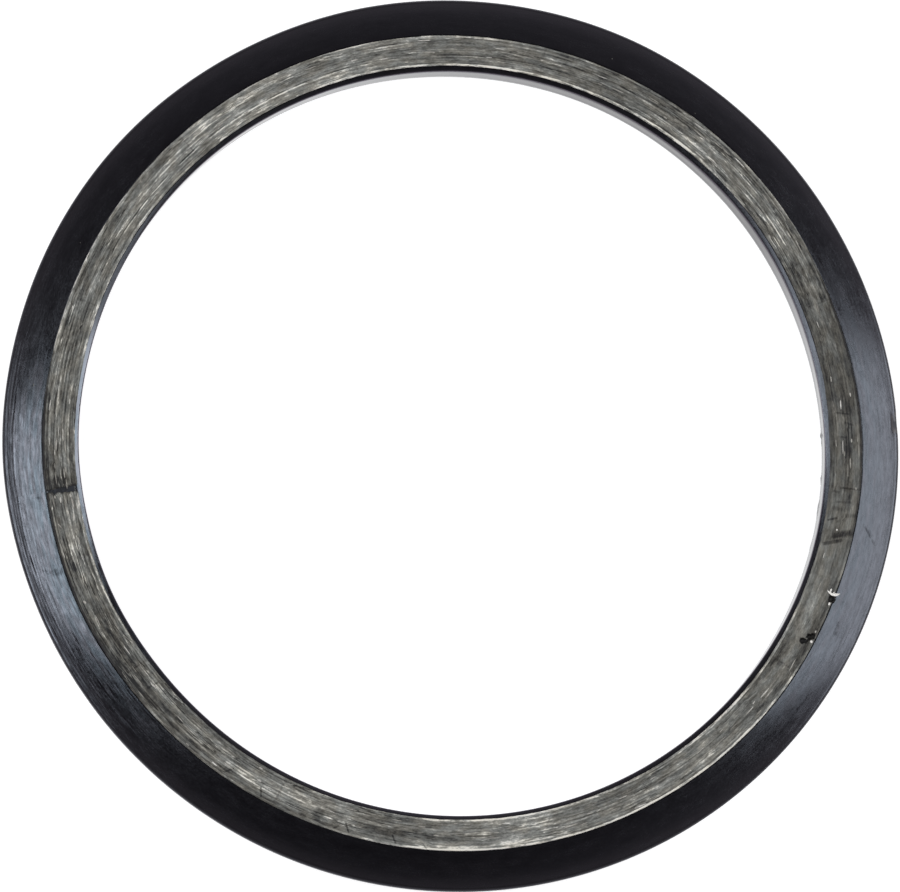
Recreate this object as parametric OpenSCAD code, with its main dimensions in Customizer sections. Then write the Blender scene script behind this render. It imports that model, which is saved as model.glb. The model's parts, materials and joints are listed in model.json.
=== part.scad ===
// Flat rubber seal ring with a tapered outer lip and a fabric facing bonded into its upper face.
// The ring lies on its lower face, with its axis on +Z and the origin at the middle of that face.
// Seen from above, +X is to the right and +Y is away from the viewer.

/* [Rubber ring] */
// Diameter of the bore
bore_d = 100; // [40:1:300]
// Thickness of the ring over the facing
ring_t = 5; // [4:0.1:12]
// Radial width of the chamfer at each mouth of the bore
mouth_w = 0.65; // [0.2:0.05:1.5]
// Height of that chamfer along the axis
mouth_h = 0.3; // [0.1:0.05:1]
// Radial width of the tapered lip, from the flat faces to the rim
lip_w = 5.05; // [3:0.05:8]
// Radius of the slight crown along each flank of the lip
crown_r = 32; // [20:1:120]
// Radius of the rounded rim
rim_r = 0.6; // [0.4:0.05:1]
// Height of the land on the rim where the moulding flash was trimmed
rim_land = 0.5; // [0.2:0.05:0.7]
// Height that the rim stands proud of the flanks at the mould line
rim_step = 0.02; // [0.01:0.01:0.06]

/* [Fabric facing] */
// Radial width of the facing
facing_w = 4.1; // [3:0.05:10]
// Width of the flat rubber left along each edge of the facing
seat_rim = 0.1; // [0.05:0.05:0.5]
// Thickness of the facing
facing_t = 1; // [0.6:0.05:1.6]
// Height that the facing stands above the rubber
facing_proud = 0.1; // [0.05:0.05:0.4]
// Radius of the facing's upper edges
facing_edge_r = 0.2; // [0.1:0.05:0.4]
// Gap between the two ends of the fabric strip
joint_gap = 0.5; // [0.2:0.05:1.5]
// Direction of that butt joint
joint_angle = 187.5; // [0:0.5:360]
// Depth of the rubber that has risen into the butt joint, below the facing's surface
joint_sink = 0.2; // [0.1:0.05:0.4]

/* [Bias seams in the facing] */
// Width of the pressed-in seams where a ply was cut on the bias
seam_w = 0.45; // [0.2:0.05:0.8]
// Depth of those seams
seam_h = 0.25; // [0.1:0.05:0.4]
// Lean of those seams from the radius
seam_lean = 32; // [0:1:50]
// Direction of the seam that crosses the whole facing
seam_angle = 346.5; // [0:0.5:360]
// Distance along the facing to the second seam
seam_pitch = 2.4; // [1:0.1:8]
// Length of that second seam, which stops short of both edges
seam_short = 2.2; // [1:0.1:2.6]

/* [Damage at the edge of the facing] */
// Radius of the two torn pits
pit_r = 0.6; // [0.3:0.05:0.8]
// Direction of the pit that bites into the lip
lip_pit_angle = 337.5; // [0:0.5:360]
// Distance of that pit's centre inside the outer edge of the facing
lip_pit_in = 0.1; // [0.05:0.05:0.2]
// Direction of the pit that bites into the facing
facing_pit_angle = 331; // [0:0.5:360]
// Distance of that pit's centre inside the outer edge of the facing
facing_pit_in = 0.4; // [0.3:0.05:0.45]

/* [Hidden] */
$fn = 96;

bore_r = bore_d / 2;
face_w = facing_w + 2 * seat_rim;
section_w = mouth_w + face_w + lip_w;
rubber_t = ring_t - facing_proud;
mid_z = rubber_t / 2;
facing_x = mouth_w + seat_rim;
facing_in = bore_r + facing_x;
facing_out = facing_in + facing_w;
facing_mid = (facing_in + facing_out) / 2;
seat_z = ring_t - facing_t;
// Radius of a groove that has the seams' width and depth
seam_r = (seam_w * seam_w / 4 + seam_h * seam_h) / (2 * seam_h);
// Cutting tools run past the faces that they open by this much
over = 1;

// Centre of the rim's round, set out so that trimming it leaves the land
rim_x = section_w - sqrt(rim_r * rim_r - rim_land * rim_land / 4);

// Centre of the upper flank's crown, which starts at the edge of the flat face and passes under the rim's round
edge = [mouth_w + face_w, rubber_t];
to_rim = [rim_x, mid_z] - edge;
span = norm(to_rim);
crown_to_rim = crown_r - rim_r + rim_step;
along = (crown_r * crown_r - crown_to_rim * crown_to_rim + span * span) / (2 * span);
aside = sqrt(crown_r * crown_r - along * along);
crown_c = edge + along * to_rim / span + aside * [to_rim.y, -to_rim.x] / span;
// Where the crown lies closest under the rim's round
touch_x = crown_c.x + (rim_x - crown_c.x) * crown_r / crown_to_rim;

// Disc whose edge is the crown of the upper flank
module crown_disc() {
    translate(crown_c) circle(r = crown_r, $fn = 360);
}

// Section of the rubber, measured from the bore, without the seat of the facing
module rubber_outline() {
    intersection() {
        square([touch_x, rubber_t]);
        crown_disc();
        translate([0, rubber_t]) mirror([0, 1]) crown_disc();
    }
    intersection() {
        translate([rim_x, mid_z]) circle(r = rim_r);
        square([section_w, rubber_t]);
    }
}

// Cut for the chamfer at the lower mouth of the bore
module mouth_chamfer() {
    polygon([[-over, -over], [mouth_w + over * mouth_w / mouth_h, -over], [0, mouth_h], [-over, mouth_h]]);
}

module rubber_section() {
    difference() {
        rubber_outline();
        mouth_chamfer();
        translate([0, rubber_t]) mirror([0, 1]) mouth_chamfer();
        translate([facing_x, seat_z]) square([facing_w, ring_t]);
    }
}

// Section of the facing, measured from the bore, with its two upper edges rounded
module facing_section() {
    straight_t = facing_t - facing_edge_r;
    translate([facing_x, seat_z]) {
        square([facing_w, straight_t]);
        translate([facing_edge_r, 0]) square([facing_w - 2 * facing_edge_r, facing_t]);
        for (x = [facing_edge_r, facing_w - facing_edge_r])
            translate([x, straight_t]) circle(r = facing_edge_r);
    }
}

// A radial bar across the facing at its butt joint, from one height to another
module joint_bar(from_z, to_z, past) {
    rotate(joint_angle)
        translate([facing_in - past, -joint_gap / 2, from_z])
            cube([facing_w + 2 * past, joint_gap, to_z - from_z]);
}

// Rubber that has risen into the butt joint, trimmed to the seat's own round walls
module joint_rubber() {
    intersection() {
        joint_bar(seat_z - over, ring_t - joint_sink, over);
        difference() {
            cylinder(r = facing_out, h = ring_t);
            translate([0, 0, -over]) cylinder(r = facing_in, h = ring_t + 2 * over);
        }
    }
}

// Round-bottomed groove across the facing, centred on its middle and leaning from the radius
module bias_seam(direction, length) {
    rotate(direction)
        translate([facing_mid, 0, ring_t - seam_h + seam_r])
            rotate(seam_lean)
                rotate([0, 90, 0])
                    cylinder(r = seam_r, h = length, center = true);
}

module bias_seams() {
    bias_seam(seam_angle, 2 * facing_w);
    bias_seam(seam_angle + seam_pitch / facing_mid * 180 / PI, seam_short);
}

// Torn pits at the outer edge of the facing, one leaning into the lip and one into the facing
module torn_pits() {
    for (pit = [[lip_pit_angle, lip_pit_in], [facing_pit_angle, facing_pit_in]])
        rotate(pit[0])
            translate([facing_out - pit[1], 0, rubber_t])
                sphere(r = pit_r);
}

module rubber_ring() {
    color("#191a1d")
        difference() {
            union() {
                rotate_extrude() translate([bore_r, 0]) rubber_section();
                joint_rubber();
            }
            torn_pits();
        }
}

module fabric_facing() {
    color("#6b6b65")
        difference() {
            rotate_extrude() translate([bore_r, 0]) facing_section();
            joint_bar(seat_z - over, ring_t + over, over);
            bias_seams();
            torn_pits();
        }
}

rubber_ring();
fabric_facing();
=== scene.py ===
import json
from math import atan2, cos, exp, hypot, pi, radians, sin, sqrt, tan, tau
from random import Random

import bmesh
import bpy
from mathutils import Matrix, Vector, noise


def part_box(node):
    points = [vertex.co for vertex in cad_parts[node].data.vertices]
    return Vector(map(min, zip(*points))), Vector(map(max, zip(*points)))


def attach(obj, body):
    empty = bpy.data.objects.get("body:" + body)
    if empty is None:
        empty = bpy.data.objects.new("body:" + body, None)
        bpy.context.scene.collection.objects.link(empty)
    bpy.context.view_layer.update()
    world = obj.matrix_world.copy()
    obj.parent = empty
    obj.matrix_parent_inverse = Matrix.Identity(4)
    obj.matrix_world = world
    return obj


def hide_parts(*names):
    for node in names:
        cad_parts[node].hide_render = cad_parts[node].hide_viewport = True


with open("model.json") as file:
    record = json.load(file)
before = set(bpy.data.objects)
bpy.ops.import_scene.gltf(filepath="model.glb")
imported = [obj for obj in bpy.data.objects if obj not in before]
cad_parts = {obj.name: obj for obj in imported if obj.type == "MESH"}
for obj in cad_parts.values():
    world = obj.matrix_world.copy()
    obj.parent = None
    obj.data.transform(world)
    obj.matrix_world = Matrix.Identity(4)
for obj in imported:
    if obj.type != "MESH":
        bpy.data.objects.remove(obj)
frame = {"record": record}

mm = 0.001
scene = bpy.context.scene
scene.view_settings.view_transform = "Standard"
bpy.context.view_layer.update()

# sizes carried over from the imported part, in mm
mounts = {mount["name"]: mount for mount in frame["record"]["mounts"]}
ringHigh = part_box("rubber_ring")[1] / mm
facingLow, facingHigh = [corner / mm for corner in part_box("fabric_facing")]
boreR = mounts["bore"]["dims"]["r_mm"]
landH = mounts["rim"]["dims"]["length_mm"]
rimR = mounts["rim"]["dims"]["r_mm"]
rubberTop = ringHigh.z
ringTop = facingHigh.z
seatZ = facingLow.z
facingOut = max(facingHigh.x, facingHigh.y)
facingMid = Vector(mounts["fabric_face"]["pos_m"]).xy.length / mm
facingIn = 2 * facingMid - facingOut
print("frame loaded, rim radius", round(rimR, 3), "mm, bore radius", boreR, "mm")


# angles round the ring are clock angles: degrees clockwise from the picture's top

def clockPoint(clock, r, z):
    return Vector((r * sin(radians(clock)), r * cos(radians(clock)), z))


def clockOf(point):
    return atan2(point.x, point.y) * 180 / pi % 360


def clockApart(clock, other):  # signed, in degrees
    return (clock - other + 180) % 360 - 180


def arcApart(clock, other, r):  # signed distance along the ring, in mm
    return radians(clockApart(clock, other)) * r


def nearTo(clock, middle, spread):  # 1 at the middle, fading on both sides
    return exp(-(clockApart(clock, middle) / spread) ** 2)


def outward(point):  # level, away from the axis
    return Vector((point.x, point.y, 0)).normalized()


def easeStep(low, high, value):
    share = min(1.0, max(0.0, (value - low) / (high - low)))
    return share * share * (3 - 2 * share)


def grain(along, across, seed, octaves=2):  # smooth noise from about -1 to 1
    return noise.fractal(Vector((along, across, seed)), 1.0, 2.0, octaves)


# how the soft ring lies out of round

lie = {
    "pulls": [               # clock angle, spread, then mm outward at bore, facing and rim
        (268, 12, 0.28, 0.33, 0.25),
        (247, 11, 0.27, 0.33, 0.0),
        (70, 16, -0.22, -0.34, -0.13),
        (24, 14, 0.12, 0.0, 0.18),
        (110, 13, 0.0, -0.2, 0.0),
        (180, 30, 0.0, -0.13, -0.1),
        (332, 14, 0.03, 0.0, -0.13),
    ],
    "leans": [               # of the bore's upper edge: clock angle, spread, mm inward
        (84, 18, 0.22),
        (34, 21, 0.16),
    ],
    "leanFrom": 0.8,         # height where the bore starts to lean
    "leanFull": 0.5,         # depth below the rubber's top where it leans in full
    "leanClear": 0.1,        # and how far inside the facing the lean has ended
}


def pulled(s, clock, r, z):
    upper = easeStep(s["leanFrom"], rubberTop - s["leanFull"], z)
    inner = 1 - easeStep(boreR, facingIn - s["leanClear"], r)
    inBand = easeStep(boreR, facingIn, r)
    toRim = easeStep(facingOut, rimR, r)
    shift = 0.0
    for at, spread, inward in s["leans"]:
        shift -= nearTo(clock, at, spread) * inward * upper * inner
    for at, spread, bore, band, rim in s["pulls"]:
        shift += nearTo(clock, at, spread) * (bore + (band - bore) * inBand + (rim - band) * toRim)
    return shift


# camera

camera = {
    "lens": 480,
    "sensor": 36,
    "clipEnd": 20,           # m
    "distance": 1595.4,      # mm from the middle of the facing's surface
    "tilt": 10.88,           # degrees off straight down
    "towards": 221.34,       # clock angle that the camera leans to
    "aim": (-0.748, -0.581), # mm across the picture, right and up
}


def makeCamera(s):
    data = bpy.data.cameras.new("camera")
    data.lens = s["lens"]
    data.sensor_width = s["sensor"]
    data.sensor_fit = "HORIZONTAL"
    data.clip_end = s["clipEnd"]
    piece = bpy.data.objects.new("camera", data)
    scene.collection.objects.link(piece)
    lean = clockPoint(s["towards"], 1, 0)
    turn = Matrix.Rotation(radians(s["tilt"]), 4, Vector((-lean.y, lean.x, 0)))
    target = Matrix.Translation(Vector((0, 0, ringTop * mm)))
    inView = Matrix.Translation(Vector((s["aim"][0], s["aim"][1], s["distance"])) * mm)
    piece.matrix_world = target @ turn @ inView
    scene.camera = piece


makeCamera(camera)


# light and floor

studio = {
    "lampColour": (0.94, 0.97, 1.0),
    "lampReach": 1.2,        # m from the ring to each softbox
    "softboxes": [           # name, clock angle, elevation, wide, high in degrees, radiance
        ("softboxRight", 88.5, 42, 33, 31, 5.4),
        ("softboxLeft", 269, 56, 25.5, 28, 8.0),
    ],
    "skyTint": (1.0, 0.92, 1.0),
    "sky": [                 # how steeply up, and how bright there
        (0.0, 0.9), (0.47, 0.45), (0.6, 0.27), (0.71, 0.19), (0.82, 0.08), (0.9, 0.05), (1.0, 0.05),
    ],
    "floorR": 4.0,
    "floorSides": 96,
    "floorDrop": 0.00002,
    "floorTone": 0.46,
    "floorGlow": 0.8,        # what camera and reflections see on top of the lit floor
    "farFrom": 0.3,          # m from the ring where that glow starts to rise, and is full
    "farTo": 1.5,
}


def makeSoftbox(s, name, clock, elevation, wide, high, radiance):
    lamp = bpy.data.lights.new(name, "AREA")
    lamp.shape = "RECTANGLE"
    lamp.size = 2 * s["lampReach"] * tan(radians(wide / 2))
    lamp.size_y = 2 * s["lampReach"] * tan(radians(high / 2))
    lamp.energy = radiance * pi * lamp.size * lamp.size_y
    lamp.color = s["lampColour"]
    piece = bpy.data.objects.new(name, lamp)
    scene.collection.objects.link(piece)
    out = clockPoint(clock, cos(radians(elevation)), sin(radians(elevation)))
    piece.location = out * s["lampReach"]
    piece.rotation_euler = out.to_track_quat("Z", "Y").to_euler()
    piece.visible_camera = False


def plug(tree, socket, value):  # a socket is linked, anything else is written in
    if isinstance(value, bpy.types.NodeSocket):
        tree.links.new(value, socket)
    else:
        socket.default_value = value


def addNode(tree, kind, inputs=None, **settings):
    made = tree.nodes.new("ShaderNode" + kind)
    for key, value in settings.items():
        setattr(made, key, value)
    for key, value in (inputs or {}).items():
        plug(tree, made.inputs[key], value)
    return made


def calc(tree, operation, *values, clamp=False):
    made = addNode(tree, "Math", dict(enumerate(values)), operation=operation, use_clamp=clamp)
    return made.outputs[0]


def times(tree, value, other):
    return calc(tree, "MULTIPLY", value, other)


def easeMap(tree, value, low, high, outLow=0.0, outHigh=1.0, smooth=True):
    inputs = {"Value": value, "From Min": low, "From Max": high, "To Min": outLow, "To Max": outHigh}
    kind = "SMOOTHSTEP" if smooth else "LINEAR"
    return addNode(tree, "MapRange", inputs, interpolation_type=kind).outputs["Result"]


def ramp(tree, value, stops):
    made = addNode(tree, "ValToRGB", {"Fac": value})
    elements = made.color_ramp.elements
    while len(elements) < len(stops):
        elements.new(0.5)
    for element, (position, colour) in zip(elements, sorted(stops)):
        element.position = position
        element.color = colour
    return made.outputs["Color"]


def mixed(tree, share, first, second):
    made = addNode(tree, "Mix", data_type="RGBA")
    for index, value in ((0, share), (6, first), (7, second)):
        plug(tree, made.inputs[index], value)
    return made.outputs[2]


def grey(tone):
    return (tone, tone, tone, 1)


def attribute(tree, name):
    return addNode(tree, "Attribute", attribute_name=name).outputs["Fac"]


def makeWorld(s):  # paler towards the horizon, white behind the floor
    world = bpy.data.worlds.new("studioWorld")
    world.use_nodes = True
    scene.world = world
    tree = world.node_tree
    heading = addNode(tree, "TexCoord").outputs["Generated"]
    up = addNode(tree, "SeparateXYZ", {0: heading}).outputs["Z"]
    sky = ramp(tree, up, [(height, grey(tone)) for height, tone in s["sky"]])
    seen = addNode(tree, "LightPath").outputs["Is Camera Ray"]
    background = tree.nodes["Background"]
    plug(tree, background.inputs["Color"], mixed(tree, seen, (*s["skyTint"], 1), (1, 1, 1, 1)))
    plug(tree, background.inputs["Strength"], calc(tree, "MAXIMUM", seen, sky))


def makeFloor(s):
    bm = bmesh.new()
    bmesh.ops.create_circle(bm, cap_ends=True, radius=s["floorR"], segments=s["floorSides"])
    bmesh.ops.translate(bm, verts=bm.verts[:], vec=(0, 0, -s["floorDrop"]))
    data = bpy.data.meshes.new("floor")
    bm.to_mesh(data)
    bm.free()
    piece = bpy.data.objects.new("floor", data)
    scene.collection.objects.link(piece)
    material = bpy.data.materials.new("paleFloor")
    material.use_nodes = True
    tree = material.node_tree
    tree.nodes.clear()
    path = addNode(tree, "LightPath").outputs
    seen = calc(tree, "MAXIMUM", path["Is Camera Ray"], path["Is Glossy Ray"])
    seen = calc(tree, "MAXIMUM", seen, path["Is Transmission Ray"])
    coords = addNode(tree, "TexCoord").outputs["Object"]
    away = addNode(tree, "VectorMath", {0: coords}, operation="LENGTH").outputs["Value"]
    far = easeMap(tree, away, s["farFrom"], s["farTo"], s["floorGlow"], 1.0)
    glow = addNode(tree, "Emission", {"Strength": times(tree, seen, far)})
    matte = addNode(tree, "BsdfDiffuse", {"Color": grey(s["floorTone"])})
    both = addNode(tree, "AddShader", {0: matte.outputs[0], 1: glow.outputs[0]})
    addNode(tree, "OutputMaterial", {"Surface": both.outputs[0]})
    data.materials.append(material)


for softbox in studio["softboxes"]:
    makeSoftbox(studio, *softbox)
makeWorld(studio)
makeFloor(studio)
print("camera, softboxes and floor in place")


# drawing a section in the XZ plane, in mm

def lastOf(made):
    return [v for v in made["geom_last"] if isinstance(v, bmesh.types.BMVert)][0]


def lineTo(bm, last, r, z, steps=1):
    step = (Vector((r, 0, z)) - last.co) / steps
    return lastOf(bmesh.ops.spin(bm, geom=[last], axis=(0, 1, 0), dvec=step, angle=0, steps=steps))


def arcTo(bm, last, centre, angle, steps):  # clockwise with r to the right and z up
    return lastOf(bmesh.ops.spin(
        bm, geom=[last], cent=(centre.x, 0, centre.y), axis=(0, 1, 0), angle=angle, steps=steps))


def swing(centre, start, end):  # clockwise angle about a centre
    a = atan2(start.y - centre.y, start.x - centre.x)
    b = atan2(end.y - centre.y, end.x - centre.x)
    return (a - b) % tau


weld = 1e-4  # mm between corners that become one


def spinRound(bm, turn, steps, sectors):  # one sector is spun, the others are copies of it
    share = turn / sectors
    geom = bm.verts[:] + bm.edges[:]
    bmesh.ops.spin(bm, geom=geom, axis=(0, 0, 1), angle=share, steps=steps // sectors)
    geom = bm.verts[:] + bm.edges[:] + bm.faces[:]
    bmesh.ops.spin(bm, geom=geom, axis=(0, 0, 1), angle=turn - share, steps=sectors - 1, use_duplicate=True)
    bmesh.ops.remove_doubles(bm, verts=bm.verts[:], dist=weld)


def refine(bm, wanted, cuts):
    faces = [f for f in bm.faces if wanted(f.calc_center_median())]
    edges = {e for f in faces for e in f.edges}
    bmesh.ops.subdivide_edges(bm, edges=list(edges), cuts=cuts, use_grid_fill=True)


def finishPiece(bm, name, node, material):
    reach = bm.verts.layers.float.new("reach")  # radius on the round ring, for the materials
    for v in bm.verts:
        r = hypot(v.co.x, v.co.y)
        v[reach] = r
        v.co += outward(v.co) * pulled(lie, clockOf(v.co), r, v.co.z)
    bmesh.ops.scale(bm, vec=(mm, mm, mm), verts=bm.verts[:])
    data = bpy.data.meshes.new(name)
    bm.to_mesh(data)
    bm.free()
    data.shade_smooth()
    data.materials.append(material)
    piece = bpy.data.objects.new(name, data)
    scene.collection.objects.link(piece)
    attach(piece, "root")
    if node:
        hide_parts(node)
    return piece


# shared by the materials

def shade(red, green, blue):  # a colour as seen on screen, 0 to 255
    linear = [c / 3294.6 if c <= 10 else ((c / 255 + 0.055) / 1.055) ** 2.4 for c in (red, green, blue)]
    return (*linear, 1)


def newMaterial(name):
    material = bpy.data.materials.new(name)
    material.use_nodes = True
    tree = material.node_tree
    return material, tree, tree.nodes["Principled BSDF"]


jointClock = 262.5  # the facing's butt joint, where the patterns start and end


def turnOf(clock):  # share of the way round from the joint, clockwise
    return (clock - jointClock) % 360 / 360


def stripCoords(tree):  # the ring laid out straight: along, radius and height in mm
    coords = addNode(tree, "TexCoord").outputs["Object"]
    turned = addNode(tree, "Mapping", {
        "Vector": coords,
        "Rotation": (0, 0, radians(jointClock - 180)),
        "Scale": (1 / mm, 1 / mm, 1 / mm),
    })
    parts = addNode(tree, "SeparateXYZ", {0: turned.outputs[0]}).outputs
    angle = calc(tree, "ARCTAN2", parts["X"], parts["Y"])
    turn = calc(tree, "MULTIPLY_ADD", angle, 1 / tau, 0.5)
    radius = attribute(tree, "reach")
    along = times(tree, turn, tau * facingOut)
    strip = addNode(tree, "CombineXYZ", {"X": along, "Y": radius, "Z": parts["Z"]}).outputs[0]
    return strip, turn, radius


def streaks(tree, strip, long, wide, detail=2.0, roughness=0.5, shift=0.0, lean=0.0):
    placed = addNode(tree, "Mapping", {
        "Vector": strip,
        "Location": (shift, shift, shift),
        "Rotation": (0, 0, radians(lean)),
        "Scale": (1 / long, 1 / wide, 1 / wide),
    }, vector_type="POINT")
    made = addNode(tree, "TexNoise", {
        "Vector": placed.outputs[0], "Scale": 1.0, "Detail": detail, "Roughness": roughness})
    return made.outputs["Fac"]


def dashes(tree, strip, long, wide, shift):  # short straight yarns, each with a tone of its own
    placed = addNode(tree, "Mapping", {
        "Vector": strip,
        "Location": (shift, shift, 0),
        "Scale": (1 / long, 1 / wide, 0),
    }, vector_type="POINT")
    made = addNode(tree, "TexVoronoi", {
        "Vector": placed.outputs[0], "Scale": 1.0, "Randomness": 0.9,
    }, voronoi_dimensions="2D", distance="CHEBYCHEV")
    return addNode(tree, "SeparateColor", {0: made.outputs["Color"]}).outputs[0]


def roundRamp(tree, turn, tones):  # tones by clock angle, closed at the joint
    stops = sorted((turnOf(clock), tone) for clock, tone in tones)
    first, last = stops[0], stops[-1]
    gap = first[0] + 1 - last[0]
    share = (1 - last[0]) / gap
    meet = last[1] + (first[1] - last[1]) * share
    stops = [(0.0, meet), *stops, (1.0, meet)]
    return ramp(tree, turn, [(place, grey(tone)) for place, tone in stops])


def shadeRamp(tree, value, shades):  # stops with colours as seen on screen
    return ramp(tree, value, [(place, shade(*seen)) for place, seen in shades])


def sway(tree, value, weight, low=0.0, high=1.0):  # to both sides of nothing
    return easeMap(tree, value, low, high, -weight, weight, smooth=False)


def onlyNear(tree, value, level, wide, narrow):  # 1 where a value is close to a level
    away = calc(tree, "ABSOLUTE", calc(tree, "SUBTRACT", value, level))
    return easeMap(tree, away, wide, narrow)


def allStreaks(tree, strip, layers):
    return {name: streaks(tree, strip, *sizes) for name, sizes in layers.items()}


def dress(tree, surface, colour, dull, shine, relief, strength, deep):
    bump = addNode(tree, "Bump", {"Strength": strength, "Distance": deep * mm, "Height": relief})
    plug(tree, surface.inputs["Base Color"], colour)
    plug(tree, surface.inputs["Roughness"], dull)
    plug(tree, surface.inputs["Specular IOR Level"], shine)
    plug(tree, surface.inputs["Normal"], bump.outputs[0])


# the rubber ring

ring = {
    "segments": 660,
    "sectors": 12,
    "seatRim": 0.1,          # flat rubber along each edge of the facing
    "crownR": 32.0,
    "rimRound": 0.6,
    "rimStep": 0.02,
    "edgeRound": 0.05,
    "boreSteps": 6,
    "crownSteps": 64,
    "rimSteps": 6,
    "underSteps": 10,
    "ribSink": 0.2,          # rubber risen into the butt joint, below the facing's surface
    "ribRoot": 0.2,          # how far it reaches into the seat,
    "ribPast": 0.05,         # past the facing's edges
    "ribUnder": 0.25,        # and under its two ends
    "ribCuts": 9,
    "ribRough": 0.12,
    "wave": (9, 2.5, 0.004), # slow unevenness of the moulding: long, wide, high
    "mottle": (1.6, 0.45, 0.0012),
    "grooves": [             # worn into the flank: radius, wide, deep, from and to clock angle
        (59.15, 0.1, 0.014, 230, 292),
        (58.72, 0.08, 0.014, 236, 286),
        (59.42, 0.08, 0.01, 228, 278),
    ],
    "grooveWander": 0.05,
    "scuff": (86.7, 1.3, 0.06),  # on the rim: clock angle, half length, depth
    "scuffEdge": (0.95, 0.55),   # how far inside the rim it starts, and is full
    "scuffLow": 1.6,             # and the height where it ends
    "nibs": [                # flash left at the lower mouth: clock angle, half length, height
        (87.8, 0.5, 0.16), (89.0, 0.4, 0.1), (94.5, 0.5, 0.16), (98.5, 0.5, 0.15), (99.7, 0.7, 0.14),
        (105.1, 0.5, 0.12),
    ],
    "nibFade": (0.3, 0.95),  # heights between which the flash fades into the bore
    "rimLines": [            # rubbed lines: radius, half width, how dull, how shiny
        (59.3, 0.6, 0.12, -0.2),
        (58.77, 0.08, 0.3, -0.7),
        (58.54, 0.08, 0.0, 1.0),
        (59.12, 0.06, 0.2, -0.35),
        (59.4, 0.05, 0.3, -0.3),
        (59.6, 0.04, 0.3, -0.2),
        (59.27, 0.05, 0.0, 0.3),
    ],
    "lineWander": 0.2,
    "scratches": [           # clock angle, radius, lean from the run of the ring, long, wide, how dull
        (102.05, 56.95, 43, 3.6, 0.5, 0.34),
        (101.75, 57.1, 43, 2.4, 0.4, 0.18),
        (261.5, 58.2, 86, 1.7, 0.45, 0.2),
        (261.85, 56.1, 84, 1.6, 0.5, 0.18),
        (251.45, 55.9, 80, 1.9, 1.3, 0.26),
        (252.0, 57.4, 65, 1.6, 0.9, 0.24),
        (115.6, 56.7, 12, 2.6, 0.8, 0.22),
    ],
    "worn": [                # how much the surface was rubbed, by clock angle
        (0, 0.15), (60, 0.2), (78, 0.4), (128, 0.4), (142, 0.12), (222, 0.12), (236, 1.0), (274, 1.0),
        (286, 0.15),
    ],
    "mouthShine": [          # of the upper chamfer, by clock angle
        (50, 0.3), (58, 0.12), (96, 0.12), (104, 0.3), (200, 0.3), (247, 0.3), (255, 1.0), (283, 1.0),
        (290, 0.0), (316, 0.0), (324, 0.3),
    ],
    "mouthMatt": -0.42,      # its polish where that is nothing
    "wallShine": [(200, 0.5), (350, 0.5), (20, 0.1), (56, 0.1), (72, 0.5)],
    "layers": {              # streaks: long, wide, detail, roughness, shift
        "drawn": (14.0, 0.3, 3.0, 0.6),
        "wiped": (2.8, 0.22, 3.0, 0.65, 3.7),
        "cloudy": (3.2, 1.3, 4.0, 0.65, 5.1),
        "fine": (0.35, 0.16, 2.0, 0.5, 9.4),
        "broken": (0.7, 0.5, 2.0, 0.5, 2.9),
        "wander": (12.0, 9.0, 1.0),
        "faded": (6.0, 0.3, 2.0, 0.5, 7.9),
        "spotty": (1.5, 0.32, 3.0, 0.6, 17.3),
        "bluer": (4.0, 0.6, 2.0, 0.5, 13.7),
    },
    "middle": (0.3, 0.7),    # range of a layer that is used for tones
    "black": [(0.3, (9, 8, 10)), (0.7, (14, 13, 15))],
    "rimBlack": (25, 23, 25),
    "borePaintedLight": [                # painted light up the bore: shade at its foot, a lilac reflection tint in the middle, a highlight near the top
        (0.06, (12, 11, 13)), (0.25, (34, 28, 36)), (0.82, (36, 30, 38)), (0.92, (92, 86, 94)),
    ],
    "stain": [(0.0, (14, 14, 16)), (0.5, (66, 62, 57)), (1.0, (24, 22, 22))],
    "dull": 0.21,
    "wallDull": 0.35,        # share of that in the bore
    "shine": 0.5,
    "blue": (0.85, 0.885, 1.0, 1),
    "deepBlue": (0.74, 0.87, 1.0, 1),
}
pits = [                     # clock angle, radius from the axis, size, depth
    (112.3, 54.6, 0.52, 0.55),
    (118.7, 53.95, 0.5, 0.6),
    (118.35, 54.35, 0.42, 0.5),
    (119.6, 53.42, 0.46, 0.5),
    (119.35, 53.8, 0.34, 0.4),
]


def pitDepth(point):
    deepest = 0.0
    for index, (clock, r, size, depth) in enumerate(pits):
        centre = clockPoint(clock, r, 0)
        away = hypot(point.x - centre.x, point.y - centre.y)
        if away < 2.5 * size:
            ragged = 1 + 0.45 * grain(point.x * 1.9, point.y * 1.9, 7.3 + index)
            deepest = max(deepest, depth * (1 - easeStep(0.35, 1.0, away / size / ragged)))
    return deepest


def setOutFlank(s):  # centre of its crown, edge of the face, centre of the rim, and how far the two are apart
    mid = rubberTop / 2
    edge = Vector((facingOut + s["seatRim"], rubberTop))
    rimC = Vector((rimR - sqrt(s["rimRound"] ** 2 - landH ** 2 / 4), mid))
    toRim = rimC - edge
    span = toRim.length
    reach = s["crownR"] - s["rimRound"] + s["rimStep"]
    along = (s["crownR"] ** 2 - reach ** 2 + span ** 2) / (2 * span)
    aside = sqrt(s["crownR"] ** 2 - along ** 2)
    crownC = edge + toRim * along / span + Vector((toRim.y, -toRim.x)) * aside / span
    return crownC, edge, rimC, reach


def flankZ(s, r):
    centre = setOutFlank(s)[0]
    return centre.y + sqrt(s["crownR"] ** 2 - (r - centre.x) ** 2)


def flip(p):  # from the upper half of the section to the lower
    return Vector((p.x, rubberTop - p.y))


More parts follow.
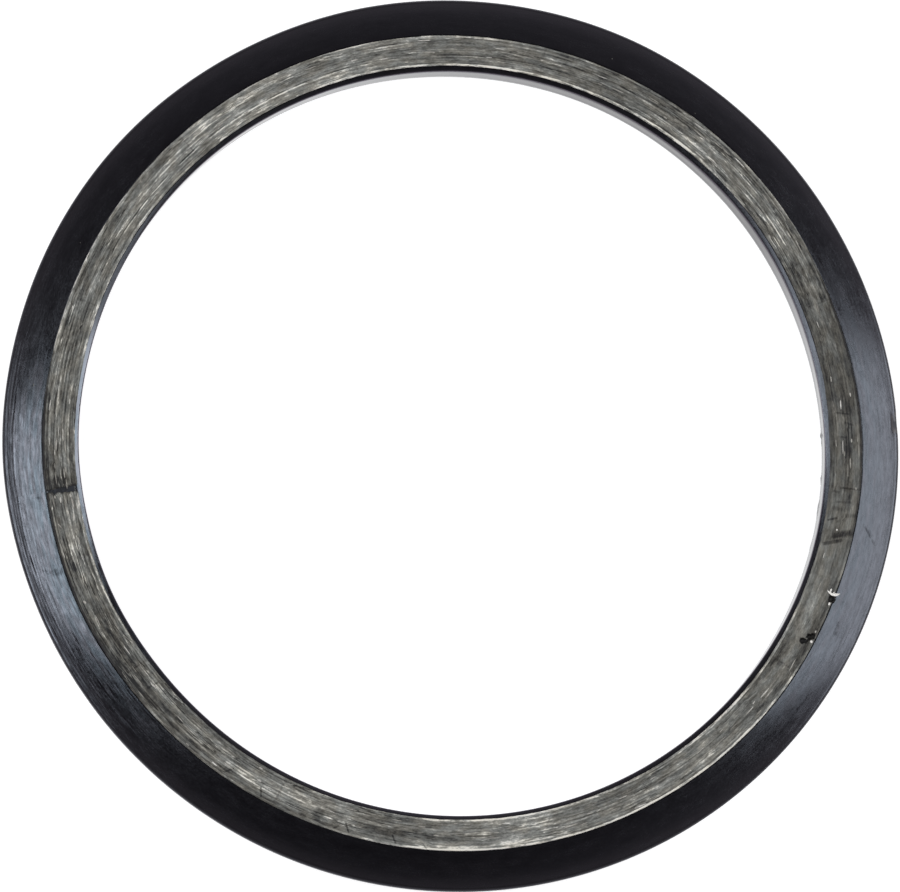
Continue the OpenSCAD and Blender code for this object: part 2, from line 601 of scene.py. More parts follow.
def ringSection(bm, s):
    mid = rubberTop / 2
    mouthH = (rubberTop - mounts["bore"]["dims"]["length_mm"]) / 2
    crownC, edge, rimC, reach = setOutFlank(s)
    out = (rimC - crownC) / reach
    ahead = (s["crownR"] ** 2 - reach ** 2 - s["rimRound"] ** 2) / (2 * reach * s["rimRound"])
    crease = rimC + (out * ahead + Vector((-out.y, out.x)) * sqrt(1 - ahead ** 2)) * s["rimRound"]
    land = Vector((rimR, mid + landH / 2))

    first = bm.verts.new((boreR, 0, mouthH))
    last = lineTo(bm, first, boreR, rubberTop - mouthH, s["boreSteps"])
    rounds = [first, last]
    last = lineTo(bm, last, facingIn - s["seatRim"], rubberTop, 2)
    rounds.append(last)
    last = lineTo(bm, last, facingIn, rubberTop)
    last = lineTo(bm, last, facingIn, seatZ, 2)
    last = lineTo(bm, last, facingOut, seatZ, 3)
    last = lineTo(bm, last, facingOut, rubberTop, 4)
    last = lineTo(bm, last, edge.x, rubberTop)
    last = arcTo(bm, last, crownC, swing(crownC, edge, crease), s["crownSteps"])
    last = arcTo(bm, last, rimC, swing(rimC, crease, land), s["rimSteps"])
    last = lineTo(bm, last, rimR, mid - landH / 2, 2)
    last = arcTo(bm, last, rimC, swing(rimC, flip(land), flip(crease)), s["rimSteps"])
    last = arcTo(bm, last, flip(crownC), swing(flip(crownC), flip(crease), flip(edge)), s["underSteps"])
    rounds.append(last)
    last = lineTo(bm, last, facingIn - s["seatRim"], 0, 3)
    rounds.append(last)
    bm.edges.new((last, first))
    bmesh.ops.bevel(bm, geom=rounds, offset=s["edgeRound"], offset_type="OFFSET", segments=2,
                    profile=0.5, affect="VERTICES", material=-1)


def addRib(bm, s):  # rubber that has risen into the facing's butt joint
    low, high = seatZ - s["ribRoot"], ringTop - s["ribSink"]
    middle = clockPoint(jointClock, facingMid, (low + high) / 2)
    place = Matrix.Translation(middle) @ Matrix.Rotation(radians(90 - jointClock), 4, "Z")
    long = facingOut - facingIn + 2 * s["ribPast"]
    wide = facing["joint"] + 2 * s["ribUnder"]
    size = Matrix.Diagonal((long, wide, high - low, 1))
    made = bmesh.ops.create_cube(bm, size=1, matrix=place @ size)
    edges = {e for v in made["verts"] for e in v.link_edges}
    bmesh.ops.subdivide_edges(bm, edges=list(edges), cuts=s["ribCuts"], use_grid_fill=True)


def flankLift(s, clock, r, along):  # unevenness and worn grooves of the upper flank
    long, wide, high = s["wave"]
    lift = high * grain(along / long, r / wide, 1.1)
    long, wide, high = s["mottle"]
    lift += high * grain(along / long, r / wide, 2.2, 3)
    for radius, wide, deep, start, end in s["grooves"]:
        across = (r - radius - s["grooveWander"] * grain(along / 14, 0, radius)) / wide
        if abs(across) < 2.5:
            broken = easeStep(-0.15, 0.2, grain(along / 5.5, radius * 3, 3.3))
            inside = easeStep(start - 4, start + 8, clock) * (1 - easeStep(end - 8, end + 4, clock))
            lift -= deep * exp(-across * across) * (0.1 + 0.9 * inside) * broken
    return lift


def scuffAt(s, clock, r, z, along):  # 1 where the rim is scuffed in full
    middle, half, _ = s["scuff"]
    start, full = s["scuffEdge"]
    far = abs(arcApart(clock, middle, r)) / half
    ragged = easeStep(-0.5, 0.1, grain(along / 0.5, z * 2.4, 5.5))
    return (1 - easeStep(0.6, 1.2, far)) * ragged * easeStep(rimR - start, rimR - full, r)


def nibsAt(s, clock, r, z, along):  # how far flash stands in from the bore, and how soiled it is
    fade = (1 - easeStep(*s["nibFade"], z)) * (0.7 + 0.5 * grain(along / 0.25, 0, 6.6))
    inward = stain = 0.0
    for nibClock, half, height in s["nibs"]:
        far = arcApart(clock, nibClock, r) / half
        if abs(far) < 2:
            nib = exp(-far * far * 2) * fade
            inward += height * nib
            stain = max(stain, nib)
    return inward, stain


def ringRelief(bm, s, soilAndShade):
    bm.normal_update()
    moves = []
    for v in bm.verts:
        r, z = hypot(v.co.x, v.co.y), v.co.z
        clock = clockOf(v.co)
        along = turnOf(clock) * tau * rimR
        dirtAndShade = 0.0
        move = Vector((0, 0, 0))
        if r > facingOut + s["seatRim"] + 0.05 and z > rubberTop / 2:
            move += v.normal * flankLift(s, clock, r, along)
        onRib = boreR + 1 < r < facingOut - 0.1 and z > seatZ + 0.3
        if onRib:
            move.z += s["ribRough"] * grain(r / 0.6, clock * 2, 4.4)
            dirtAndShade = 1.0
        if r > facingOut - 0.05 and z > seatZ + 0.2:
            sink = pitDepth(v.co)
            move.z -= sink
            dirtAndShade = max(dirtAndShade, easeStep(0.02, 0.2, sink))
        if r > rimR - s["scuffEdge"][0] and z > s["scuffLow"]:
            bite = scuffAt(s, clock, r, z, along)
            move -= v.normal * s["scuff"][2] * bite
            dirtAndShade = max(dirtAndShade, bite)
        if r < boreR + 0.2 and z < s["nibFade"][1]:
            inward, stain = nibsAt(s, clock, r, z, along)
            move -= outward(v.co) * inward
            dirtAndShade = max(dirtAndShade, stain)
        v[soilAndShade] = dirtAndShade
        moves.append(move)
    for v, move in zip(bm.verts, moves):
        v.co += move


def lineMask(tree, strip, clock, radius, lean, long, wide):  # a short straight line on the laid-out ring
    middle = (turnOf(clock) * tau * facingOut, radius, 0)
    parts = addNode(tree, "SeparateXYZ", {0: addNode(
        tree, "VectorMath", {0: strip, 1: middle}, operation="SUBTRACT").outputs[0]}).outputs
    ahead = calc(tree, "ADD", times(tree, parts["X"], cos(radians(lean))),
                 times(tree, parts["Y"], sin(radians(lean))))
    beside = calc(tree, "SUBTRACT", times(tree, parts["Y"], cos(radians(lean))),
                  times(tree, parts["X"], sin(radians(lean))))
    across = easeMap(tree, calc(tree, "ABSOLUTE", beside), wide / 2, wide * 0.15)
    return times(tree, across, easeMap(tree, calc(tree, "ABSOLUTE", ahead), long / 2, long / 3))


def ringMaterial(s):
    material, tree, surface = newMaterial("blackRubber")
    strip, turn, radius = stripCoords(tree)
    soilAndShade = attribute(tree, "soilAndShade")
    layer = allStreaks(tree, strip, s["layers"])
    worn = roundRamp(tree, turn, s["worn"])
    bore = easeMap(tree, radius, boreR + 0.15, boreR + 0.03)  # moulded against a polished core

    # polish is 1 where the rubber shines and below 0 where it is matt
    mouth = calc(tree, "SUBTRACT", easeMap(tree, radius, facingIn - 0.05, facingIn - 0.15), bore)
    mouthShine = roundRamp(tree, turn, s["mouthShine"])
    mouthShine = easeMap(tree, mouthShine, 0.0, 1.0, s["mouthMatt"], 1.0, smooth=False)
    mouth = times(tree, mouth, mouthShine)
    wallShine = sway(tree, roundRamp(tree, turn, s["wallShine"]), 1.0)
    polish = calc(tree, "ADD", mouth, times(tree, bore, wallShine))

    # marks are dull: soil, scratches and the lines rubbed along the rim
    marks = times(tree, soilAndShade, 0.7)
    broken = easeMap(tree, layer["broken"], 0.3, 0.55)
    for *scratch, dulled in s["scratches"]:
        mark = times(tree, lineMask(tree, strip, *scratch), broken)
        marks = calc(tree, "MAXIMUM", marks, times(tree, mark, dulled))
    wander = easeMap(tree, layer["wander"], 0.0, 1.0, -s["lineWander"], s["lineWander"])
    wander = calc(tree, "SUBTRACT", radius, wander)
    faded = easeMap(tree, layer["faded"], 0.3, 0.52)
    faded = times(tree, faded, easeMap(tree, worn, 0.3, 0.9))
    for lineR, wide, dulled, shiny in s["rimLines"]:
        line = times(tree, onlyNear(tree, wander, lineR, wide, wide * 0.3), faded)
        marks = calc(tree, "MAXIMUM", marks, times(tree, line, dulled))
        polish = calc(tree, "MULTIPLY_ADD", line, shiny, polish)

    colour = shadeRamp(tree, layer["cloudy"], s["black"])
    nearRim = easeMap(tree, radius, rimR - 2.2, rimR - 0.3)
    colour = mixed(tree, nearRim, colour, shade(*s["rimBlack"]))
    height = addNode(tree, "SeparateXYZ", {0: strip}).outputs["Z"]
    height = easeMap(tree, height, 0.0, rubberTop, smooth=False)
    # painted light on the bore wall: shade at the foot, a lilac reflection tint, a highlight near the top
    colour = mixed(tree, bore, colour, shadeRamp(tree, height, s["borePaintedLight"]))
    colour = mixed(tree, easeMap(tree, soilAndShade, 0.05, 0.4), colour, shadeRamp(tree, soilAndShade, s["stain"]))

    drawn = sway(tree, layer["drawn"], 0.1, *s["middle"])
    wiped = sway(tree, layer["wiped"], 0.12, *s["middle"])
    dull = calc(tree, "MULTIPLY_ADD", calc(tree, "ADD", drawn, wiped), worn, s["dull"])
    for name in ("cloudy", "fine"):
        dull = calc(tree, "ADD", dull, sway(tree, layer[name], 0.05, *s["middle"]))
    dull = calc(tree, "MULTIPLY_ADD", marks, 0.6, dull)
    dull = calc(tree, "MULTIPLY_ADD", mouth, -0.1, dull)
    dull = times(tree, dull, easeMap(tree, bore, 0.0, 1.0, 1.0, s["wallDull"], smooth=False))
    dull = addNode(tree, "Clamp", {"Value": dull, "Min": 0.05, "Max": 0.85}).outputs[0]
    shine = calc(tree, "MULTIPLY_ADD", polish, 0.45, s["shine"])
    spotty = sway(tree, layer["spotty"], 0.2, *s["middle"])
    shine = calc(tree, "MULTIPLY_ADD", spotty, worn, shine, clamp=True)
    relief = times(tree, calc(tree, "ADD", layer["drawn"], layer["wiped"]), worn)
    relief = calc(tree, "MULTIPLY_ADD", layer["fine"], 0.2, relief)
    dress(tree, surface, colour, dull, shine, relief, 0.14, 0.04)
    bluer = times(tree, easeMap(tree, layer["bluer"], 0.35, 0.6), worn)
    bluer = times(tree, bluer, easeMap(tree, radius, rimR - 1.8, rimR - 4.0, 0.3, 1.0))
    plug(tree, surface.inputs["Specular Tint"], mixed(tree, bluer, s["blue"], s["deepBlue"]))
    return material


def makeRing(s):
    bm = bmesh.new()
    ringSection(bm, s)
    spinRound(bm, tau, s["segments"], s["sectors"])
    addRib(bm, s)
    bmesh.ops.recalc_face_normals(bm, faces=bm.faces[:])
    for clock, r, size, _ in pits:
        centre = clockPoint(clock, r, rubberTop)
        refine(bm, lambda p: p.z > seatZ + 0.3 and (p - centre).length < size * 2, 2)
    soilAndShade = bm.verts.layers.float.new("soilAndShade")
    ringRelief(bm, s, soilAndShade)
    piece = finishPiece(bm, "rubberRing", "rubber_ring", ringMaterial(s))
    print("rubber ring:", len(piece.data.polygons), "faces")


# the fabric facing

facing = {
    "steps": 1300,
    "sectors": 13,
    "rows": 40,              # across the face
    "edgeRound": 0.2,
    "joint": 0.5,            # gap between the two ends
    "ragged": 0.18,
    "yarn": 0.014,           # height of the streaky yarns
    "swell": 0.025,          # slow unevenness
    "waver": 0.045,          # of the outer edge
    "drawnIn": 0.02,         # and how far that edge is drawn in
    "innerWaver": 0.05,      # of the inner edge
    "innerLap": 0.07,        # which laps over the chamfer all round
    "innerFree": 30,         # but for this clock angle
    "laps": [                # and laps more here: clock angle, spread, how far
        (89, 11, 0.33), (272, 14, 0.2), (34, 21, 0.16),
    ],
    "seams": [               # clock angle, lean, long, wide, deep
        (103.6, 27, 9.0, 0.9, 0.13),
        (101.15, 27, 1.6, 0.36, 0.1),
    ],
    "marks": [               # clock angle, radius, lean from the run of the band, long, wide, how dark
        (104.5, 52.35, 117, 3.2, 0.75, 0.3),
        (103.0, 53.35, 115, 3.2, 1.2, 0.28),
        (101.15, 51.65, 116, 1.6, 0.42, 0.28),
        (100.2, 53.9, 100, 1.6, 0.8, 0.14),
        (98.4, 52.8, 95, 2.6, 0.5, 0.14),
        (200.6, 53.4, 70, 1.9, 2.0, 0.26),
        (201.0, 51.9, 20, 2.6, 0.7, 0.2),
        (189.3, 54.0, -60, 1.5, 0.36, 0.32),
        (196.1, 53.9, -58, 1.7, 0.34, 0.36),
        (197.6, 54.2, 40, 1.0, 0.34, 0.28),
        (209.3, 53.9, -60, 1.7, 0.36, 0.3),
        (214.7, 53.7, 55, 1.7, 0.36, 0.28),
        (184.9, 54.4, -50, 1.2, 0.3, 0.22),
        (231.0, 52.2, 80, 1.8, 0.4, 0.28),
        (63.5, 52.5, 25, 4.6, 2.2, 0.2),
        (67.5, 53.2, 35, 3.0, 1.6, 0.18),
        (252.0, 53.6, 30, 4.0, 1.6, 0.16),
        (263.5, 52.5, 90, 4.6, 2.8, 0.3),
        (99.5, 52.0, 85, 1.6, 0.8, 0.13),
        (97.0, 51.6, 85, 1.1, 0.5, 0.15),
        (85.3, 52.4, 78, 2.2, 0.36, 0.17),
        (86.9, 53.2, 70, 1.6, 0.4, 0.12),
        (88.8, 52.2, 80, 1.6, 0.4, 0.12),
    ],
    "layers": {              # streaks: long, wide, detail, roughness, shift, lean
        "felt": (0.34, 0.16, 2.0, 0.6, 25.9),
        "mottle": (0.95, 0.28, 4.0, 0.65, 2.7),
        "patches": (3.2, 1.3, 3.0, 0.6, 8.1, 12),
        "drawn": (30.0, 0.25, 2.0, 0.5, 1.3),
        "yarns": (5.5, 0.22, 2.0, 0.5, 4.2),
        "broad": (20.0, 2.2, 2.0, 0.5, 21.7),
        "broken": (2.4, 0.5, 2.0, 0.5, 6.6),
        "sparse": (6.0, 1.0, 1.0, 0.5, 15.8),
        "splits": (7.0, 0.5, 2.0, 0.5, 12.3),
        "cooler": (2.5, 0.9, 2.0, 0.5, 19.1),
    },
    "floats": (1.9, 0.22, 3.3),  # short yarns: long, wide, shift
    "toneWeights": {"mottle": 0.475, "broad": 0.5, "patches": 0.45, "felt": 0.225, "weave": 0.05},
    "lineWeights": {"drawn": 0.65, "floats": 0.07, "yarns": 0.35},
    "ridgesAndShadowLines": [          # painted shadow lines and pale ridges: level in the layer, widths, weight
        (0.5, 0.028, 0.006, -0.35),
        (0.55, 0.024, 0.005, 0.4),
    ],
    "calm": [                # share of the mottling that shows, by clock angle
        (66, 1.0), (80, 0.65), (108, 0.65), (120, 1.0), (200, 1.0),
    ],
    "streaky": [             # how plainly the yarns show
        (0, 0.6), (35, 0.9), (60, 0.9), (75, 0.4), (95, 0.5), (108, 0.25), (125, 0.3), (150, 0.7), (180, 0.6),
        (205, 0.9), (240, 1.0), (275, 1.0), (300, 0.8), (335, 0.6),
    ],
    "paintedShading": [               # painted light and shade round the band: how pale it is by clock angle
        (0, 0.46), (30, 0.41), (55, 0.43), (75, 0.28), (100, 0.35), (125, 0.38), (150, 0.49), (185, 0.52),
        (215, 0.4), (240, 0.3), (262, 0.36), (280, 0.36), (305, 0.56), (335, 0.6),
    ],
    "outerEdge": {           # mm from the edge where its pale lines, partly frayed yarn and partly painted highlight, and its dark lines of painted shade start and are full
        "pale": (-0.36, -0.24),
        "dark": (-0.46, -0.2),
        "tones": [           # pale above a half, dark below it
            (0, 0.72), (45, 0.72), (60, 0.55), (68, 0.15), (99, 0.15), (105, 0.7), (115, 0.75), (117, 0.55),
            (121, 0.8), (135, 0.98), (150, 1.0), (165, 1.0), (185, 0.94), (197, 0.76), (212, 0.75), (227, 0.9),
            (236, 0.2), (274, 0.15), (284, 0.9), (300, 0.64), (315, 0.6), (330, 0.62), (345, 0.68),
        ],
    },
    "innerEdge": {
        "pale": (0.32, 0.18),
        "dark": (0.5, 0.2),
        "tones": [
            (0, 0.95), (40, 0.92), (52, 0.55), (62, 0.42), (75, 0.42), (98, 0.42), (106, 0.65), (120, 0.95),
            (150, 0.85), (165, 0.78), (180, 0.85), (192, 0.72), (206, 0.5), (236, 0.5), (244, 0.8), (256, 0.78),
            (264, 0.55), (276, 0.6), (285, 0.85), (298, 0.6), (315, 0.62), (330, 0.7), (345, 0.74),
        ],
    },
    "edgeFrayAndHighlight": 0.62,
    "edgeShade": 0.55,
    "plyIn": 1.32,           # the end of a ply shows as a line this far from the inner edge
    "plyWander": 0.25,
    "plySpan": [             # how plain it is, by clock angle
        (285, 0.0), (298, 1.0), (345, 0.9), (10, 0.7), (25, 0.3), (45, 0.0), (180, 0.0),
    ],
    "plyLines": [            # its dark and pale halves: how far off the line, weight
        (0.0, -0.4), (-0.18, 0.35),
    ],
    "warm": [
        (0.0, (30, 28, 25)), (0.25, (76, 74, 67)), (0.5, (108, 106, 98)), (0.75, (143, 141, 131)),
        (1.0, (222, 218, 204)),
    ],
    "cool": [
        (0.0, (27, 27, 27)), (0.25, (73, 73, 69)), (0.5, (105, 106, 101)), (0.75, (140, 141, 135)),
        (1.0, (220, 218, 208)),
    ],
}


def yarnRelief(along, r):  # unevenness of the face, in mm, and the share of it that is yarn
    yarn = 0.6 * grain(along / 2.6, r / 0.30, 11.1) + 0.4 * grain(along / 0.9, r / 0.2, 12.2)
    return facing["yarn"] * yarn + facing["swell"] * grain(along / 7, r / 2.2, 13.3), yarn


def facingSection(bm, s):
    bend = s["edgeRound"]
    first = bm.verts.new((facingIn, 0, seatZ))
    last = lineTo(bm, first, facingIn, ringTop - bend, 3)
    last = arcTo(bm, last, Vector((facingIn + bend, ringTop - bend)), pi / 2, 4)
    last = lineTo(bm, last, facingOut - bend, ringTop, s["rows"])
    last = arcTo(bm, last, Vector((facingOut - bend, ringTop - bend)), pi / 2, 4)
    last = lineTo(bm, last, facingOut, seatZ, 3)
    bm.edges.new((last, first))


def groove(point, clock, lean, long, wide):  # 1 in the middle of a leaning line, 0 beside it
    middle = clockPoint(clock, facingMid, 0)
    out = middle.normalized()
    aside = Vector((-out.y, out.x, 0))
    along = out * cos(radians(lean)) + aside * sin(radians(lean))
    away = Vector((point.x, point.y, 0)) - middle
    ahead = away.dot(along)
    across = (away - along * ahead).length
    return max(0.0, 1 - (across / wide * 2) ** 2) * (1 - easeStep(0.4, 0.5, abs(ahead) / long))


def facingRelief(bm, s, soilAndShade, weave):
    bm.normal_update()
    moves = []
    for v in bm.verts:
        r = hypot(v.co.x, v.co.y)
        clock = clockOf(v.co)
        along = turnOf(clock) * tau * r
        top = easeStep(ringTop - 0.3, ringTop - 0.05, v.co.z)
        out = outward(v.co)
        lift, yarn = yarnRelief(along, r)
        move = v.normal * top * lift
        atEdge = easeStep(facingOut - 0.8, facingOut, r)
        move += out * atEdge * (s["waver"] * grain(along / 2.4, 0, 14.4) - s["drawnIn"])
        atEdge = top * (1 - easeStep(facingIn, facingIn + 0.6, r))
        lap = s["innerLap"] * (1 - cos(radians(clock - s["innerFree"])))
        for lapClock, spread, far in s["laps"]:
            lap += far * nearTo(clock, lapClock, spread)
        move += out * atEdge * (s["innerWaver"] * grain(along / 2.0, 0, 15.5) - lap)
        # on the facing this value is painted shade: the seams, the pits and the joint's edges get darker
        dirtAndShade = 0.0
        for seamClock, lean, long, wide, deep in s["seams"]:
            if abs(arcApart(clock, seamClock, r)) < 4:
                cut = groove(v.co, seamClock, lean, long, wide * (1 + 0.3 * grain(along, r, 16.6)))
                move.z -= deep * cut * top
                dirtAndShade = max(dirtAndShade, 0.7 * deep * cut * top)
        sink = pitDepth(v.co) * easeStep(seatZ, ringTop, v.co.z)
        if sink:
            move.z -= sink
            dirtAndShade = max(dirtAndShade, 1.25 * easeStep(0.02, 0.2, sink))
        ahead = arcApart(clock, jointClock, r)
        gap = abs(ahead) - s["joint"] / 2
        if gap < 1.5:
            side = Vector((out.y, -out.x, 0)) * (1 if ahead > 0 else -1)
            fray = s["ragged"] * (grain(r / 0.35, v.co.z / 0.5, 17.7) + 0.1)
            fray += 0.12 - 0.32 * easeStep(facingOut - 1.3, facingOut - 0.5, r)
            move += side * fray * (1 - easeStep(0.0, 1.2, gap))
            move.z -= 0.1 * (1 - easeStep(0.0, 0.6, gap)) * top
            dirtAndShade = max(dirtAndShade, 0.3 * (1 - easeStep(0.0, 0.3, gap)))
        v[soilAndShade] = dirtAndShade
        v[weave] = 0.5 + 0.5 * yarn
        moves.append(move)
    for v, move in zip(bm.verts, moves):
        v.co += move


def sharePast(tree, level, end):  # from a half towards one end
    return easeMap(tree, level, 0.5, end, smooth=False)


def edgeHighlightAndShade(tree, tone, s, edge, away, turn, broken):  # pale lines along an edge, partly frayed yarn and partly painted highlight, and dark lines of painted shade
    level = roundRamp(tree, turn, edge["tones"])
    pale = times(tree, sharePast(tree, level, 1.0), easeMap(tree, away, *edge["pale"]))
    pale = times(tree, pale, easeMap(tree, broken, 0.0, 1.0, 0.6, 1.0))
    dark = times(tree, sharePast(tree, level, 0.0), easeMap(tree, away, *edge["dark"]))
    tone = calc(tree, "MULTIPLY_ADD", pale, s["edgeFrayAndHighlight"], tone)
    return calc(tree, "MULTIPLY_ADD", dark, -s["edgeShade"], tone)


def facingMaterial(s):
    material, tree, surface = newMaterial("greyFabric")
    strip, turn, radius = stripCoords(tree)
    soilAndShade = attribute(tree, "soilAndShade")
    layer = allStreaks(tree, strip, s["layers"])
    layer["floats"] = dashes(tree, strip, *s["floats"])
    layer["weave"] = attribute(tree, "weave")
    broken = easeMap(tree, layer["broken"], 0.35, 0.6)
    sparse = easeMap(tree, layer["sparse"], 0.45, 0.6)

    lines = 0.0
    for name, weight in s["lineWeights"].items():
        lines = calc(tree, "ADD", lines, sway(tree, layer[name], weight))
    # the dark lines are painted shadow beside the pale ridges
    for level, wide, narrow, weight in s["ridgesAndShadowLines"]:
        split = times(tree, onlyNear(tree, layer["splits"], level, wide, narrow), sparse)
        lines = calc(tree, "MULTIPLY_ADD", split, weight, lines)
    tone = 0.0
    for name, weight in s["toneWeights"].items():
        tone = calc(tree, "ADD", tone, sway(tree, layer[name], weight))
    tone = calc(tree, "MULTIPLY_ADD", tone, roundRamp(tree, turn, s["calm"]), 0.5)
    tone = calc(tree, "MULTIPLY_ADD", lines, roundRamp(tree, turn, s["streaky"]), tone)
    # painted light and shade: the band's paleness changes with clock angle
    tone = calc(tree, "ADD", tone, sway(tree, roundRamp(tree, turn, s["paintedShading"]), 0.5))
    # pale edge lines are partly frayed yarn and partly painted highlight; dark edge lines are painted shade
    for edge, edgeR in ((s["outerEdge"], facingOut), (s["innerEdge"], facingIn)):
        away = calc(tree, "SUBTRACT", radius, edgeR)
        tone = edgeHighlightAndShade(tree, tone, s, edge, away, turn, broken)

    plyR = calc(tree, "MULTIPLY_ADD", layer["patches"], s["plyWander"], facingIn + s["plyIn"])
    offPly = calc(tree, "SUBTRACT", radius, plyR)
    plain = times(tree, roundRamp(tree, turn, s["plySpan"]), broken)
    for off, weight in s["plyLines"]:
        line = times(tree, plain, onlyNear(tree, offPly, off, 0.12, 0.02))
        tone = calc(tree, "MULTIPLY_ADD", line, weight, tone)
    for *mark, dark in s["marks"]:
        tone = calc(tree, "MULTIPLY_ADD", lineMask(tree, strip, *mark), -dark, tone)
    # painted shade: the seams, the pits and the joint's edges are darkened
    tone = calc(tree, "MULTIPLY_ADD", soilAndShade, -0.75, tone, clamp=True)

    warm, cool = shadeRamp(tree, tone, s["warm"]), shadeRamp(tree, tone, s["cool"])
    colour = mixed(tree, easeMap(tree, layer["cooler"], 0.35, 0.65), warm, cool)
    dull = easeMap(tree, tone, 0.0, 1.0, 0.6, 0.85, smooth=False)
    relief = calc(tree, "MULTIPLY_ADD", layer["yarns"], 0.5, layer["mottle"])
    dress(tree, surface, colour, dull, 0.3, relief, 0.3, 0.04)
    return material


def makeFacing(s):
    bm = bmesh.new()
    facingSection(bm, s)
    gapTurn = s["joint"] / facingMid
    start = radians(90 - jointClock) + gapTurn / 2
    bmesh.ops.rotate(bm, verts=bm.verts[:], cent=(0, 0, 0), matrix=Matrix.Rotation(start, 3, "Z"))
    spinRound(bm, tau - gapTurn, s["steps"], s["sectors"])
    bmesh.ops.holes_fill(bm, edges=[e for e in bm.edges if e.is_boundary], sides=0)
    bmesh.ops.recalc_face_normals(bm, faces=bm.faces[:])
    for clock, r, size, _ in pits:
        centre = clockPoint(clock, r, ringTop)
        refine(bm, lambda p: p.z > ringTop - 0.3 and (p - centre).length < size * 1.8, 1)
    refine(bm, lambda p: p.z > ringTop - 0.3 and abs(arcApart(clockOf(p), jointClock, facingOut)) < 1.0, 1)
    soilAndShade = bm.verts.layers.float.new("soilAndShade")
    weave = bm.verts.layers.float.new("weave")
    facingRelief(bm, s, soilAndShade, weave)
    piece = finishPiece(bm, "fabricFacing", "fabric_facing", facingMaterial(s))
    print("fabric facing:", len(piece.data.polygons), "faces")


# pale yarns that lie on top of the facing, and its torn bits

yarns = {
    "seed": 14,
    "loose": 70,             # scattered all round, besides those in the crowded stretches
    "crowded": [             # from and to clock angle, how many
        (30, 62, 14), (84, 96, 8), (128, 162, 16), (180, 188, 8), (193, 197, 4), (208, 236, 22),
        (252, 276, 14), (318, 330, 5),
    ],
    "tints": (0.1, 0.75),
    "yaw": 4,                # degrees to either side
    "halfLong": (0.3, 1.1),
    "halfWide": (0.04, 0.1),
    "halfHigh": 0.035,
    "inset": 0.4,            # kept clear of the facing's edges
    "ends": [                # yarn ends and specks: clock angle, radius, half length, half width, yaw, tint
        (261.6, 53.8, 0.22, 0.13, 10, 0.5),
        (261.1, 53.1, 0.45, 0.13, -4, 0.62),
        (261.5, 51.7, 0.3, 0.14, 15, 0.6),
        (260.4, 51.6, 0.8, 0.12, 3, 0.5),
        (258.3, 51.85, 0.6, 0.11, -5, 0.6),
        (257.5, 53.9, 0.4, 0.1, 25, 0.45),
        (254.8, 51.9, 0.55, 0.12, -4, 0.52),
        (246.2, 53.9, 0.26, 0.16, 30, 0.6),
        (265.3, 51.9, 0.5, 0.1, 5, 0.5),
        (268.7, 51.8, 0.8, 0.1, 3, 0.5),
        (269.0, 53.0, 0.9, 0.13, -3, 0.5),
        (270.5, 52.1, 0.9, 0.12, 2, 0.55),
        (102.6, 52.55, 0.14, 0.12, 0, 0.9),
        (96.2, 54.2, 0.2, 0.1, 10, 0.6),
    ],
    "lint": [                # specks on the flank: clock angle, radius, half length, half width
        (22.6, 56.3, 0.14, 0.11), (297.8, 56.4, 0.12, 0.08), (278.2, 57.2, 0.3, 0.04),
        (277.3, 56.5, 0.25, 0.04), (36.2, 55.4, 0.12, 0.1),
    ],
    "endHigh": 0.09,         # half heights of the ends and of the lint
    "lintHigh": 0.03,
    "fibre": (0.6, 0.07, 2.0, 0.5, 3.1),
    "shades": [
        (0.0, (46, 45, 43)), (0.14, (108, 106, 99)), (0.5, (148, 145, 136)), (1.0, (238, 236, 228)),
    ],
}


def addYarn(bm, tint, value, middle, clock, yaw, halfLong, halfWide, halfHigh):
    place = Matrix.Translation(middle) @ Matrix.Rotation(radians(yaw - clock), 4, "Z")
    size = Matrix.Diagonal((halfLong, halfWide, halfHigh, 1))
    made = bmesh.ops.create_uvsphere(bm, u_segments=8, v_segments=5, radius=1, matrix=place @ size)
    for v in made["verts"]:
        v[tint] = value


def onFacing(clock, r):
    return clockPoint(clock, r, ringTop + yarnRelief(turnOf(clock) * tau * r, r)[0])


def yarnMaterial(s):
    material, tree, surface = newMaterial("paleYarnAndGlint")
    strip = stripCoords(tree)[0]
    fibre = streaks(tree, strip, *s["fibre"])
    tone = sway(tree, fibre, 0.22, 0.25, 0.75)
    tone = calc(tree, "ADD", attribute(tree, "tint"), tone, clamp=True)
    dull = easeMap(tree, fibre, 0.2, 0.8, 0.65, 0.85)
    dress(tree, surface, shadeRamp(tree, tone, s["shades"]), dull, 0.3, fibre, 0.4, 0.03)
    return material


def makeYarns(s):
    dice = Random(s["seed"])
    bm = bmesh.new()
    tint = bm.verts.layers.float.new("tint")
    spread = [(0, 360, s["loose"]), *s["crowded"]]
    for start, end, count in spread:
        for _ in range(count):
            clock = dice.uniform(start, end)
            r = dice.uniform(facingIn + s["inset"], facingOut - s["inset"])
            value = dice.uniform(*s["tints"])
            sizes = dice.uniform(*s["halfLong"]), dice.uniform(*s["halfWide"]), s["halfHigh"]
            yaw = dice.uniform(-s["yaw"], s["yaw"])
            addYarn(bm, tint, value, onFacing(clock, r), clock, yaw, *sizes)
    for clock, r, halfLong, halfWide, yaw, value in s["ends"]:
        addYarn(bm, tint, value, onFacing(clock, r), clock, yaw, halfLong, halfWide, s["endHigh"])
    for clock, r, halfLong, halfWide in s["lint"]:
        middle = clockPoint(clock, r, flankZ(ring, r))
        addYarn(bm, tint, 0.0, middle, clock, 0, halfLong, halfWide, s["lintHigh"])
    piece = finishPiece(bm, "paleYarns", None, yarnMaterial(s))
    print("pale yarns:", len(piece.data.polygons), "faces")


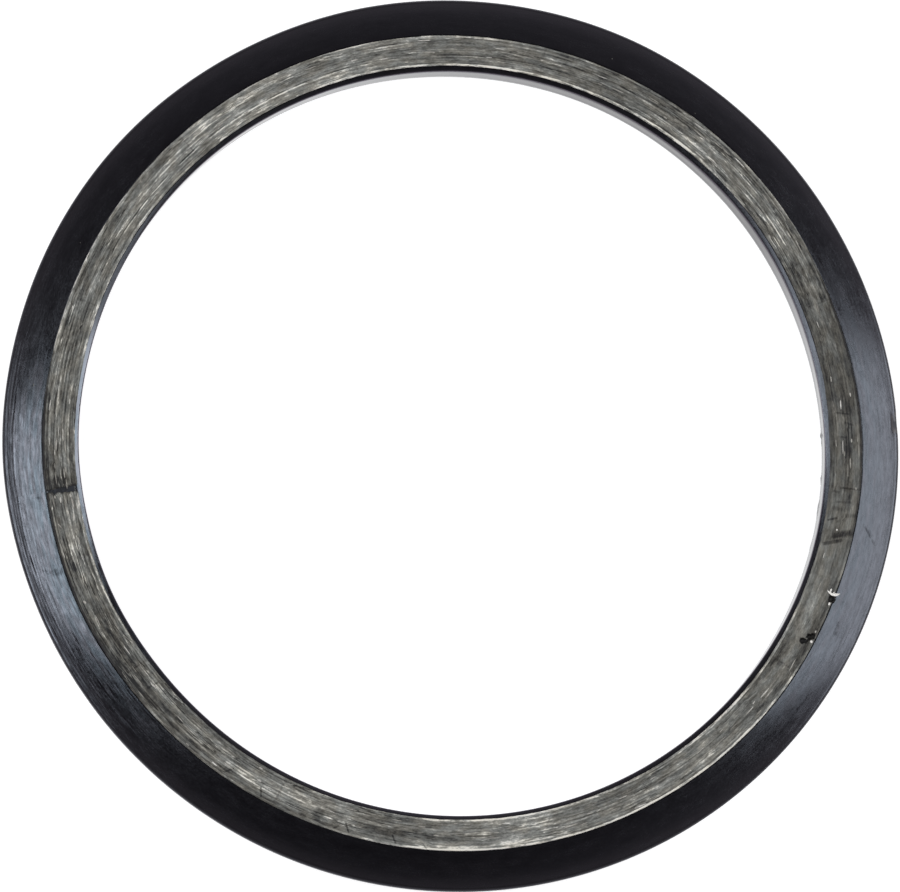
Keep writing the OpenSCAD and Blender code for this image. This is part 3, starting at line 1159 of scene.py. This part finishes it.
flap = {
    "clock": 110.5,          # middle of the curl's own round, and its radius from the axis
    "r": 54.5,
    "bend": 1.13,
    "half": 53,              # degrees of the curl to each side
    "wide": 0.5,
    "thick": 0.09,
    "lift": 0.3,
    "grid": (24, 5),
    "taper": 0.92,           # how much narrower its tips are
    "rough": 0.03,
    # near white: a painted highlight for the glint of the torn lip
    "tint": 0.95,
    "tuftSink": 0.02,
    "tufts": [               # clock angle, radius, half length, half width, half height, tint; the near white tints are a painted highlight
        (111.3, 54.1, 0.28, 0.14, 0.12, 0.9),
        (111.5, 54.6, 0.2, 0.12, 0.14, 0.9),
        (113.15, 54.55, 0.24, 0.16, 0.12, 0.95),
        (119.15, 54.5, 0.2, 0.2, 0.2, 1.0),
        (119.1, 53.75, 0.13, 0.14, 0.1, 0.1),
        (117.6, 54.4, 0.2, 0.1, 0.08, 0.6),
    ],
}


def makeFlap(s):
    bm = bmesh.new()
    bmesh.ops.create_grid(bm, x_segments=s["grid"][0], y_segments=s["grid"][1], size=1)
    centre = clockPoint(s["clock"], s["r"], 0)
    out = centre.normalized()
    onward = Vector((out.y, -out.x, 0))
    for v in bm.verts:
        angle = radians(s["half"]) * v.co.x
        taper = 1 - s["taper"] * v.co.x ** 2
        reach = s["bend"] + 0.5 * s["wide"] * taper * v.co.y
        reach += s["rough"] * grain(v.co.x * 5, v.co.y * 2, 21.1)
        high = s["lift"] * taper * (0.55 + 0.45 * v.co.y)
        v.co = centre + reach * (onward * cos(angle) + out * sin(angle))
        v.co.z = rubberTop + high
    bmesh.ops.solidify(bm, geom=bm.faces[:], thickness=s["thick"])
    # the near white tints on the flap and its tufts are a painted highlight
    tint = bm.verts.layers.float.new("tint")
    for v in bm.verts:
        v[tint] = s["tint"]
    for clock, r, halfLong, halfWide, halfHigh, value in s["tufts"]:
        middle = clockPoint(clock, r, ringTop - s["tuftSink"])
        addYarn(bm, tint, value, middle, clock, 0, halfLong, halfWide, halfHigh)
    bmesh.ops.recalc_face_normals(bm, faces=bm.faces[:])
    piece = finishPiece(bm, "tornFlap", None, yarnMaterial(yarns))
    print("torn flap:", len(piece.data.polygons), "faces")


makeRing(ring)
makeFacing(facing)
makeYarns(yarns)
makeFlap(flap)
